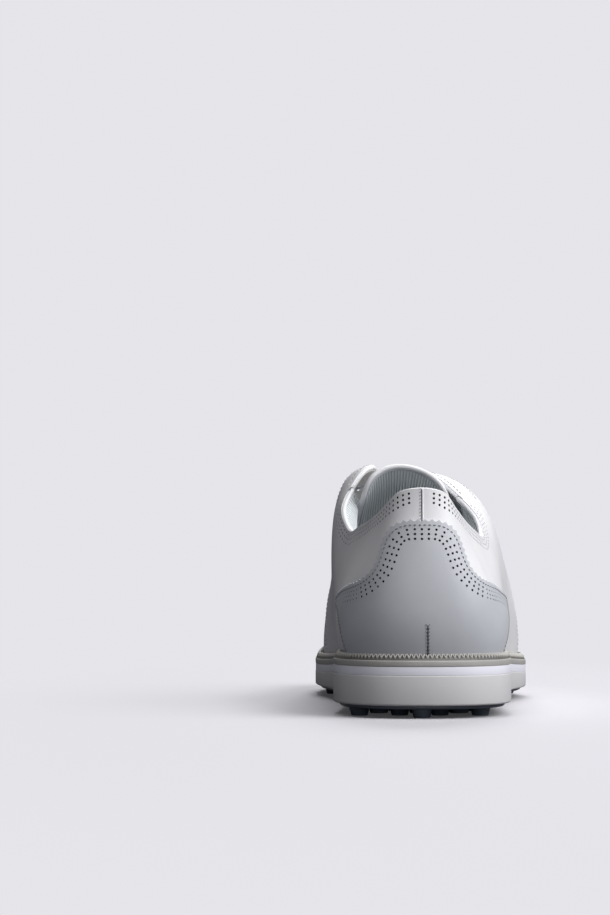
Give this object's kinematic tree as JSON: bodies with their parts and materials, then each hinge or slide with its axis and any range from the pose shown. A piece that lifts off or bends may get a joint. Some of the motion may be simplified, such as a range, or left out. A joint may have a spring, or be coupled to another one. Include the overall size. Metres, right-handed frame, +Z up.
{
  "type": "golf shoe",
  "caption": "Spikeless golf shoe for the right foot: white leather upper with a pinked grey heel counter and toe cap, padded tongue, welted grey midsole and dark lugged outsole.",
  "frame": {"origin": "middle of the shoe's box, on the ground plane", "axes": "+Y to the toe, +X to the outer side of the right foot, +Z up"},
  "size_m": [0.1126, 0.3052, 0.1201],
  "materials": {
    "outsole_rubber": "matt moulded rubber",
    "midsole_foam": "smooth matt",
    "stripe_foam": "smooth matt",
    "welt_leather": "matt, close stitched",
    "cork_filler": "granular",
    "shank_steel": "brushed",
    "fibre_board": "pressed fibre",
    "footbed_fabric": "woven",
    "white_leather": "smooth, semi-matt",
    "grey_leather": "smooth, semi-matt",
    "facing_leather": "matt",
    "padding": "open foam",
    "lining_mesh": "ribbed mesh",
    "eyelet_metal": "satin"
  },
  "bodies": {
    "shoe": {"outsole": "outsole_rubber", "midsole": "midsole_foam", "midsole_stripe": "stripe_foam", "welt": "welt_leather", "bottom_filler": "cork_filler", "shank": "shank_steel", "insole_board": "fibre_board", "quarter_lateral": "white_leather", "quarter_medial": "white_leather", "vamp": "white_leather", "toe_cap": "grey_leather", "heel_counter": "grey_leather", "heel_stiffener": "fibre_board", "collar_foam": "padding", "toe_puff": "fibre_board", "quarter_lining": "lining_mesh", "vamp_lining": "lining_mesh", "facing_lining_lateral": "facing_leather", "facing_lining_medial": "facing_leather", "eyelet_lateral_1": "eyelet_metal", "eyelet_lateral_2": "eyelet_metal", "eyelet_lateral_3": "eyelet_metal", "eyelet_lateral_4": "eyelet_metal", "eyelet_lateral_5": "eyelet_metal", "eyelet_medial_1": "eyelet_metal", "eyelet_medial_2": "eyelet_metal", "eyelet_medial_3": "eyelet_metal", "eyelet_medial_4": "eyelet_metal", "eyelet_medial_5": "eyelet_metal"},
    "footbed": {"footbed": "footbed_fabric"},
    "tongue": {"tongue_leather": "white_leather", "tongue_foam": "padding", "tongue_lining": "lining_mesh", "tongue_binding": "white_leather"}
  },
  "joints": [
    {"name": "tongue_tilt", "type": "hinge", "parent": "shoe", "child": "tongue", "pos_m": [-0.0157, 0.0525, 0.0615], "axis": [1, 0, 0], "range_deg": [0, 12]},
    {"name": "footbed_lift", "type": "hinge", "parent": "shoe", "child": "footbed", "pos_m": [-0.0182, 0.1395, 0.0318], "axis": [-1, 0, 0], "range_deg": [0, 4]}
  ]
}
